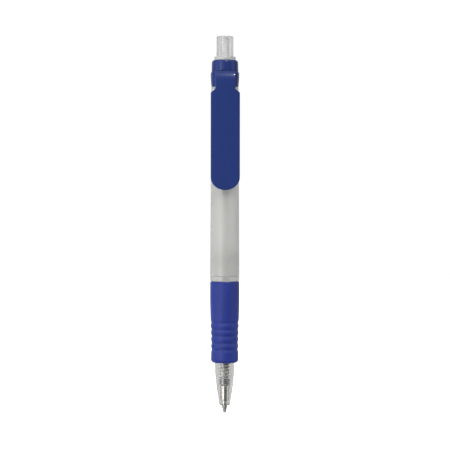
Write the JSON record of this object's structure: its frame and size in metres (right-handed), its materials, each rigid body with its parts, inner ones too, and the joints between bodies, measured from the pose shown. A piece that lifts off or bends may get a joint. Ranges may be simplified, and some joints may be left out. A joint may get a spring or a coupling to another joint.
{
  "type": "gel pen",
  "caption": "Retractable gel pen with a frosted barrel, wide blue pocket clip, clear push button, ribbed soft grip and a clear screw-on nose over a sprung refill.",
  "frame": {"origin": "on the pen's axis, level with the hem of a pocket that the clip holds, 118.5 mm above the writing ball", "axes": "+Z along the pen from the point to the push button, -Y towards the clip, +X across the clip"},
  "size_m": [0.0108, 0.0127, 0.1405],
  "materials": {
    "frosted_plastic": "frosted translucent moulding, satin",
    "clear_plastic": "clear gloss moulding",
    "button_plastic": "clear, slightly hazy moulding",
    "natural_plastic": "natural translucent moulding",
    "soft_blue": "soft translucent elastomer, satin",
    "blue_plastic": "opaque satin moulding",
    "white_plastic": "white satin moulding",
    "refill_plastic": "milky translucent tube",
    "follower_grease": "clear pale grease",
    "gel_ink": "wet pigment gel",
    "tip_metal": "turned nickel silver, bright",
    "ball_carbide": "polished carbide",
    "spring_steel": "drawn wire, plain"
  },
  "bodies": {
    "barrel": {"barrel": "frosted_plastic", "top_collar": "blue_plastic", "clip_band": "blue_plastic", "guide_sleeve": "natural_plastic"},
    "clip": {"clip_arm": "blue_plastic"},
    "button": {"push_button": "button_plastic"},
    "rotor": {"rotor_cam": "white_plastic"},
    "spring": {"return_spring": "spring_steel"},
    "front": {"front_section": "clear_plastic", "grip_sleeve": "soft_blue"},
    "refill": {"refill_tube": "refill_plastic", "refill_plug": "white_plastic", "grease_follower": "follower_grease", "gel_ink": "gel_ink", "point_tip": "tip_metal"},
    "ball": {"tip_ball": "ball_carbide"}
  },
  "joints": [
    {"name": "button_slide", "type": "slide", "parent": "barrel", "child": "button", "axis": [0, 0, 1], "range_m": [-0.0012, 0.005]},
    {"name": "rotor_turn", "type": "hinge", "parent": "button", "child": "rotor", "pos_m": [0, 0, 0], "axis": [0, 0, 1], "range_deg": [-12, 45]},
    {"name": "clip_flex", "type": "hinge", "parent": "barrel", "child": "clip", "pos_m": [0, -0.0067, 0.0029], "axis": [-1, 0, 0], "range_deg": [0, 4], "stiffness_Nm_per_rad": 0.3},
    {"name": "front_drop", "type": "slide", "parent": "barrel", "child": "spring", "axis": [0, 0, -1], "range_m": [0, 0.00525]},
    {"name": "front_turn", "type": "hinge", "parent": "spring", "child": "front", "pos_m": [0, 0, 0], "axis": [0, 0, -1], "range_deg": [0, 2520]},
    {"name": "refill_slide", "type": "slide", "parent": "spring", "child": "refill", "axis": [0, 0, 1], "range_m": [-0.0012, 0.005], "deforming": ["return_spring"]},
    {"name": "ball_roll", "type": "hinge", "parent": "refill", "child": "ball", "pos_m": [0, 0, -0.11814], "axis": [1, 0, 0], "continuous": true}
  ],
  "couplings": [
    {"joint": "rotor_turn", "follows": "button_slide", "rad_per_m": 157.08},
    {"joint": "refill_slide", "follows": "button_slide", "ratio": 1},
    {"joint": "front_turn", "follows": "front_drop", "rad_per_m": 8377.6}
  ]
}
